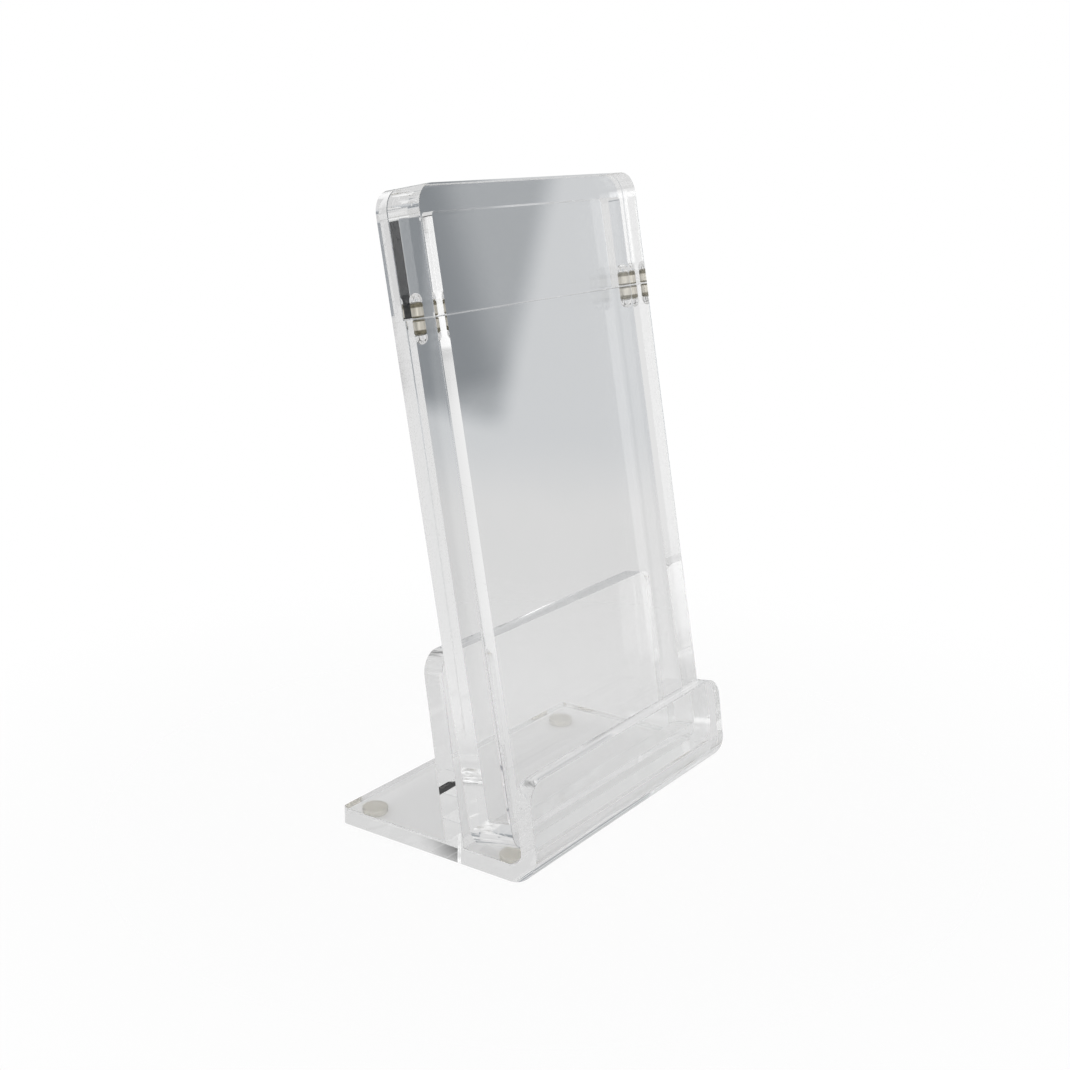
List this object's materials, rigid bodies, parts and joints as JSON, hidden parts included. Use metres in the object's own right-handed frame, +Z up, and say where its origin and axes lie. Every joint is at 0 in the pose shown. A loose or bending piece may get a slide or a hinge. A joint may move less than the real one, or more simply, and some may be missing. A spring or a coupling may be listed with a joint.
{
  "type": "trading card display case",
  "caption": "Clear acrylic pack case with a magnetic lift-off cap, leaning in a clear stand with a front lip and a back rest.",
  "frame": {"origin": "on the table, under the middle of the stand's footprint", "axes": "+X across the front to the right, +Y towards the back, +Z up"},
  "size_m": [0.082, 0.0545, 0.1464],
  "materials": {
    "clear_acrylic": "gloss",
    "nickel": "gloss",
    "clear_rubber": "satin"
  },
  "bodies": {
    "stand": {"stand_base": "clear_acrylic", "stand_back_rest": "clear_acrylic", "foot_front_left": "clear_rubber", "foot_front_right": "clear_rubber", "foot_back_left": "clear_rubber", "foot_back_right": "clear_rubber"},
    "case": {"case_back_panel": "clear_acrylic", "case_frame": "clear_acrylic", "case_front_panel": "clear_acrylic", "case_magnet_left": "nickel", "case_magnet_right": "nickel"},
    "cap": {"cap_frame": "clear_acrylic", "cap_front_panel": "clear_acrylic", "cap_magnet_left": "nickel", "cap_magnet_right": "nickel"}
  },
  "joints": [
    {"name": "case_lift", "type": "slide", "parent": "stand", "child": "case", "axis": [0, 0.1822, 0.9833], "range_m": [0, 0.05]},
    {"name": "cap_lift", "type": "slide", "parent": "case", "child": "cap", "axis": [0, 0.1822, 0.9833], "range_m": [0, 0.04]}
  ]
}
